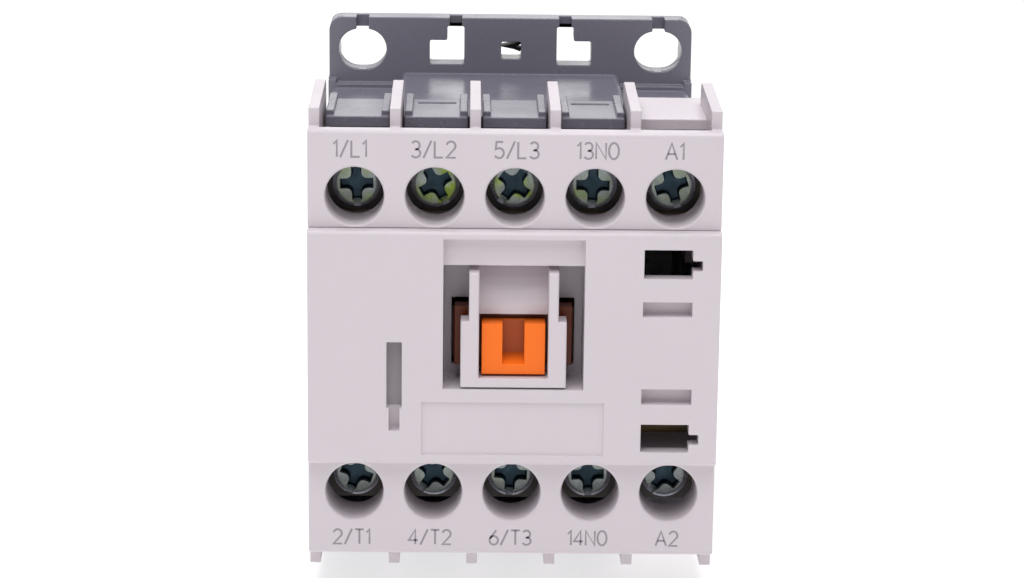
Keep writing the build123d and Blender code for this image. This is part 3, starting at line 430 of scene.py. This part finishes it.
MATERIALS = {
    "housing_plastic": plastic(
        "light_grey_plastic", (0.62, 0.565, 0.60), (0.34, 0.46), drift=0.05, fleck=0.02, bump=0.12,
    ),
    "base_plastic": plastic(
        "dark_grey_plastic", (0.165, 0.158, 0.196), (0.2, 0.34), drift=0.16, fleck=0.05, bump=0.08
    ),
    "latch_plastic": plastic(
        "latch_grey_plastic", (0.11, 0.105, 0.135), (0.25, 0.36), drift=0.12, fleck=0.05
    ),
    "orange_plastic": plastic(
        "orange_slider_plastic", (0.93, 0.17, 0.006), (0.3, 0.42), drift=0.08, fleck=0.02,
        # painted shade: the slider darkens to brown from 0.5 to 3 mm behind its front
        painted_shade=(SLIDER_FRONT + 0.5 * MM, SLIDER_FRONT + 3.0 * MM, (0.10, 0.018, 0.004)),
        Specular_IOR_Level=0.3,
    ),
    "bobbin_plastic": plastic(
        "natural_bobbin_plastic", (0.72, 0.68, 0.58), (0.4, 0.5), drift=0.08, fleck=0.03
    ),
    "rubber_pad": plastic(
        "damping_rubber", (0.025, 0.025, 0.027), (0.7, 0.85), drift=0.2, grain=1.0, bump=0.3
    ),
    "zinc_screw": zinc(
        "passivated_screw", (0.31, 0.345, 0.34), (0.26, 0.36, 0.045), (0.40, 0.41, 0.48),
        (0.02, 0.042, 0.058),
    # painted shade for the recess and the head's side
    ),
    # Painted shade: the washers are near black for the shade they sit in; plated zinc washers are
    # bright.
    "zinc_washer": metal("painted_shade_zinc_washer", (0.09, 0.088, 0.08), 0.3, 0.5),
    "plated_steel": metal("plated_pin_steel", (0.6, 0.6, 0.57), 0.2, 0.35),
    "spring_steel": metal("spring_wire_steel", (0.42, 0.42, 0.42), 0.22, 0.34),
    "black_spring": metal("blackened_spring_steel", (0.02, 0.02, 0.02), 0.4, 0.55),
    "copper": metal("shading_ring_copper", (0.8, 0.36, 0.2), 0.22, 0.38),
    "contact_brass": metal("contact_brass", (0.72, 0.55, 0.3), 0.22, 0.4, drift=0.16),
    "lamination_steel": lined(
        "stacked_core_sheets", (1, 0, 0), count=2000.0, crest=(0.42, 0.42, 0.43),
        valley=(0.1, 0.1, 0.11), metallic=1.0, bump=0.4, depth=0.04 * MM,
    ),
    "enamelled_copper": lined(
        "wound_enamelled_wire", (0, 1, 0), count=6000.0, crest=(0.55, 0.17, 0.05),
        valley=(0.14, 0.03, 0.01), metallic=0.6, bump=0.7, depth=0.06 * MM,
    ),
}


def dress_nodes():
    """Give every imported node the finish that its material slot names."""
    for part in frame["record"]["subparts"]:
        obj = frame["nodes"][part["node"]]
        finish = MATERIALS[part["material_slot"]]
        for place in obj.material_slots:
            place.material = finish


def shown(name, data):
    """A new object for this mesh, lamp or camera, in the scene."""
    obj = bpy.data.objects.new(name, data)
    bpy.context.scene.collection.objects.link(obj)
    return obj


# --- Moulded edges ----------------------------------------------------------------------------


def soften(names, width, segments=2, angle=40):
    """Round the sharp edges of moulded nodes a little, as their moulds do.

    Doubled corners are joined and flat faces made whole first, so that only true edges round.
    """
    for name in names:
        obj = frame["nodes"][name]
        weld = obj.modifiers.new("weld", "WELD")
        weld.merge_threshold = WELD_REACH
        flat = obj.modifiers.new("flat_faces", "DECIMATE")
        flat.decimate_type = "DISSOLVE"
        flat.angle_limit = FLAT_ANGLE
        edge = obj.modifiers.new("edges", "BEVEL")
        edge.width = width
        edge.segments = segments
        edge.limit_method = "ANGLE"
        edge.angle_limit = math.radians(angle)
        edge.use_clamp_overlap = False


# --- Printed marks ----------------------------------------------------------------------------


def arc(cx, cy, rx, ry, start, end, steps=12):
    """Points along part of an ellipse, between two angles in degrees."""
    points = []
    for i in range(steps + 1):
        a = math.radians(start + (end - start) * i / steps)
        points.append((cx + rx * math.cos(a), cy + ry * math.sin(a)))
    return points


# Single-line figures on a field one unit high: width, then strokes
FIGURES = {
    "1": (0.22, [[(0.0, 0.78), (0.2, 1.0), (0.2, 0.0)]]),
    "2": (0.58, [arc(0.29, 0.72, 0.27, 0.28, 165, -35) + [(0.02, 0.0), (0.58, 0.0)]]),
    "3": (
        0.56,
        [
            arc(0.27, 0.745, 0.24, 0.255, 150, -90) + [(0.2, 0.49)],
            arc(0.27, 0.26, 0.28, 0.26, 90, -150),
        ],
    ),
    "4": (0.6, [[(0.44, 0.0), (0.44, 1.0), (0.0, 0.27), (0.6, 0.27)]]),
    "5": (
        0.56,
        [[(0.5, 1.0), (0.1, 1.0), (0.05, 0.55)] + arc(0.26, 0.31, 0.29, 0.31, 118, -150)],
    ),
    "6": (0.58, [[(0.46, 1.0)] + arc(0.3, 0.3, 0.28, 0.3, 155, 515, 20)]),
    "/": (0.5, [[(0.0, -0.04), (0.48, 1.04)]]),
    "L": (0.52, [[(0.0, 1.0), (0.0, 0.0), (0.5, 0.0)]]),
    "T": (0.58, [[(0.0, 1.0), (0.58, 1.0)], [(0.29, 1.0), (0.29, 0.0)]]),
    "N": (0.6, [[(0.0, 0.0), (0.0, 1.0), (0.6, 0.0), (0.6, 1.0)]]),
    "O": (0.6, [arc(0.3, 0.5, 0.3, 0.5, 90, 450, 24)]),
    "A": (0.7, [[(0.0, 0.0), (0.35, 1.0), (0.7, 0.0)], [(0.13, 0.35), (0.57, 0.35)]]),
}
FIGURE_GAP = 0.18
SHARPEST_MITRE = 0.55
NEAR_ZERO = 1e-6


def ribbon(points, half, closed):
    """Left and right edges of a line of even width, with mitred corners."""
    left, right = [], []
    count = len(points)
    for i, (x, y) in enumerate(points):
        if closed:
            before, after = points[(i - 1) % count], points[(i + 1) % count]
        else:
            before, after = points[max(i - 1, 0)], points[min(i + 1, count - 1)]
        into = Vector((x - before[0], y - before[1]))
        out = Vector((after[0] - x, after[1] - y))
        if into.length == 0:
            into = out
        if out.length == 0:
            out = into
        into.normalize()
        out.normalize()
        normal = Vector((-(into.y + out.y), into.x + out.x))
        if normal.length < NEAR_ZERO:
            normal = Vector((-out.y, out.x))
        normal.normalize()
        reach = half / max(SHARPEST_MITRE, normal.dot(Vector((-out.y, out.x))))
        left.append((x + normal.x * reach, y + normal.y * reach))
        right.append((x - normal.x * reach, y - normal.y * reach))
    return left, right


def mark(name, text, centre_x, centre_z, height, stroke):
    """One terminal mark: a film of ink just proud of a terminal face."""
    widths = [FIGURES[c][0] for c in text]
    total = sum(widths) + FIGURE_GAP * (len(text) - 1)
    verts, faces = [], []
    pen = -total / 2
    for c, width in zip(text, widths):
        for line in FIGURES[c][1]:
            closed = (Vector(line[0]) - Vector(line[-1])).length < NEAR_ZERO
            points = [((pen + x) * height, (y - 0.5) * height) for x, y in line]
            if closed:
                points = points[:-1]
            left, right = ribbon(points, stroke / 2, closed)
            first = len(verts)
            for a, b in zip(left, right):
                verts.append((centre_x + a[0], FACE_Y - INK_PROUD, centre_z + a[1]))
                verts.append((centre_x + b[0], FACE_Y - INK_PROUD, centre_z + b[1]))
            count = len(points)
            for i in range(count if closed else count - 1):
                a, b = first + 2 * i, first + 2 * ((i + 1) % count)
                faces.append((a, a + 1, b + 1, b))
        pen += width + FIGURE_GAP
    mesh = bpy.data.meshes.new(name)
    mesh.from_pydata(verts, [], faces)
    mesh.update()
    mesh.materials.append(INK)
    obj = shown(name, mesh)
    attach(obj, "starter")


INK = plastic("grey_marking_ink", (0.30, 0.265, 0.295), (0.5, 0.6), drift=0.3, fleck=0.15)


def marks():
    """The usual terminal numbers, each with its offset in millimetres from its screw's middle."""
    upper = (("1/L1", -0.46), ("3/L2", -0.16), ("5/L3", 0.13), ("13NO", 0.2), ("A1", -0.2))
    lower = (("2/T1", -0.33), ("4/T2", -0.33), ("6/T3", -0.1), ("14NO", -0.2), ("A2", -0.05))
    rows = ((upper, POLE_BAYS, UPPER_MARKS), (lower, LOAD_BAYS, LOWER_MARKS))
    for row, bays, (z, height) in rows:
        for (text, shift), bay in zip(row, bays):
            low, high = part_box("screw_" + bay)
            x = (low.x + high.x) / 2 + shift * MM
            mark("mark_" + bay, text, x, z, height, MARK_STROKE)


# --- Guard web and painted slot shade ---------------------------------------------------------

SLOT_DEPTH = 1.45 * MM
SLOT_ACROSS = (-13.85 * MM, -12.22 * MM)
SLOT_UP = (-6.68 * MM, 0.7 * MM)
SLOT_FLOOR_THICK = 0.03 * MM
# The web in millimetres: depth behind the block's face and height, from its foot up
WEB_PROFILE = [(3.0, 3.3), (3.0, 4.4), (3.4, 5.6), (4.3, 7.2), (5.9, 9.3)]
WEB_HALF, WEB_THICK = 3.8, 0.6

def slot_shade_sheet():
    """A dark sheet in the narrow slot left of the window: painted shade for its depth."""
    y = BLOCK_Y + SLOT_DEPTH
    (x0, x1), (z0, z1) = SLOT_ACROSS, SLOT_UP
    mesh = bpy.data.meshes.new("slot_shade_sheet")
    mesh.from_pydata([(x0, y, z0), (x1, y, z0), (x1, y, z1), (x0, y, z1)], [], [(0, 1, 2, 3)])
    # Painted shade: the sheet's dark grey stands for shade in the slot
    mesh.materials.append(plastic("slot_painted_shade", (0.30, 0.27, 0.285), (0.4, 0.5)))
    obj = shown("slot_shade_sheet", mesh)
    thick = obj.modifiers.new("skin", "SOLIDIFY")
    thick.thickness = SLOT_FLOOR_THICK
    thick.offset = 0
    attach(obj, "starter")


def web():
    """The thin wall that joins the guard's two arms in front of the slider's plate."""
    section = WEB_PROFILE + [(depth + WEB_THICK, z) for depth, z in reversed(WEB_PROFILE)]
    count = len(section)
    points = [
        (x * MM, BLOCK_Y + depth * MM, z * MM)
        for x in (-WEB_HALF, WEB_HALF)
        for depth, z in section
    ]
    faces = [tuple(range(count)), tuple(reversed(range(count, 2 * count)))]
    for i in range(count):
        j = (i + 1) % count
        faces.append((i, i + count, j + count, j))
    mesh = bpy.data.meshes.new("guard_web")
    mesh.from_pydata(points, [], faces)
    mesh.materials.append(MATERIALS["housing_plastic"])
    obj = shown("guard_web", mesh)
    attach(obj, "starter")


# --- Camera, light and floor ------------------------------------------------------------------

CAMERA_TURN = (0.905, 13.737, 0.701)  # yaw, tilt down and roll, in degrees
CAMERA_DISTANCE = 326.06 * MM
CAMERA_AIM = (-0.2166 * MM, 6.5218 * MM)  # across and up, on the plane of the terminal faces
CAMERA_LENS, CAMERA_SENSOR = 104.98, 36
FLOOR_HALF = 3.0
FLOOR_GLOW = 0.62

def camera():
    """The camera stands a little above the object and looks slightly down at its face."""
    yaw, tilt, roll = (math.radians(angle) for angle in CAMERA_TURN)
    aim = Vector((CAMERA_AIM[0], FACE_Y, CAMERA_AIM[1]))
    look = Vector(
        (math.sin(yaw) * math.cos(tilt), math.cos(yaw) * math.cos(tilt), -math.sin(tilt))
    )
    right = Vector((math.cos(yaw), -math.sin(yaw), 0))
    up = right.cross(look)
    right, up = (
        right * math.cos(roll) + up * math.sin(roll),
        up * math.cos(roll) - right * math.sin(roll),
    )
    data = bpy.data.cameras.new("camera")
    data.lens = CAMERA_LENS
    data.sensor_width = CAMERA_SENSOR
    data.clip_start = 0.01
    obj = shown("camera", data)
    axes = Matrix((right, up, -look)).transposed().to_4x4()
    obj.matrix_world = Matrix.Translation(aim - look * CAMERA_DISTANCE) @ axes
    bpy.context.scene.camera = obj


def lamp(name, place, target, size, power):
    """A soft box at `place`, turned to `target`."""
    data = bpy.data.lights.new(name, "AREA")
    data.shape = "RECTANGLE"
    data.size, data.size_y = size
    data.energy = power
    obj = shown(name, data)
    obj.location = place
    obj.rotation_mode = "QUATERNION"
    obj.rotation_quaternion = (Vector(target) - Vector(place)).to_track_quat("-Z", "Y")


def studio():
    """A plain pale floor, an even surround, and soft boxes above, over the face and behind.

    The floor gives off some light of its own, which keeps the shadows on it faint. The surround
    looks white to the camera and lights the object more gently.
    """
    half, z = FLOOR_HALF, CAD_BOX[0][2]
    mesh = bpy.data.meshes.new("floor")
    corners = [(-half, -half, z), (half, -half, z), (half, half, z), (-half, half, z)]
    mesh.from_pydata(corners, [], [(0, 1, 2, 3)])
    made, tree, shader = blank("pale_floor", Roughness=0.9)
    shader.inputs["Base Color"].default_value = (0.6, 0.6, 0.6, 1)
    shader.inputs["Emission Color"].default_value = (1, 1, 1, 1)
    shader.inputs["Emission Strength"].default_value = FLOOR_GLOW
    mesh.materials.append(made)
    floor = shown("floor", mesh)

    world = bpy.data.worlds.new("studio")
    bpy.context.scene.world = world
    world.use_nodes = True
    tree = world.node_tree
    seen = tree.nodes["Background"]
    seen.inputs["Color"].default_value = (1, 1, 1, 1)
    seen.inputs["Strength"].default_value = 1.0
    gentle = {"Color": (0.98, 0.97, 1.0, 1), "Strength": 0.40}
    lit = node(tree, "ShaderNodeBackground", inputs=gentle)
    path = node(tree, "ShaderNodeLightPath")
    both = node(tree, "ShaderNodeMixShader")
    link(
        tree,
        (path.outputs["Is Camera Ray"], both.inputs[0]),
        (lit.outputs[0], both.inputs[1]),
        (seen.outputs[0], both.inputs[2]),
        (both.outputs[0], tree.nodes["World Output"].inputs["Surface"]),
    )
    lamp("top_box", (0, -0.05, 0.5), (0, -0.03, 0), size=(0.5, 0.5), power=1.9)
    lamp("brow_box", (-0.03, -0.17, 0.2), (0, -0.05, 0.02), size=(0.2, 0.12), power=0.2)
    lamp("rear_box", (0, 0.9, 0.28), (0, -0.02, 0.02), size=(0.9, 0.4), power=1.25)
    bpy.context.scene.view_settings.view_transform = "Standard"


dress_nodes()
soften(("arc_chamber", "front_cover"), COVER_EDGE)
soften(("terminal_cover_top", "terminal_cover_bottom"), COVER_EDGE, segments=1)
soften(("base_frame", "din_latch"), BASE_EDGE)
soften(("contact_carrier",), SLIDER_EDGE)
marks()
slot_shade_sheet()
web()
camera()
studio()
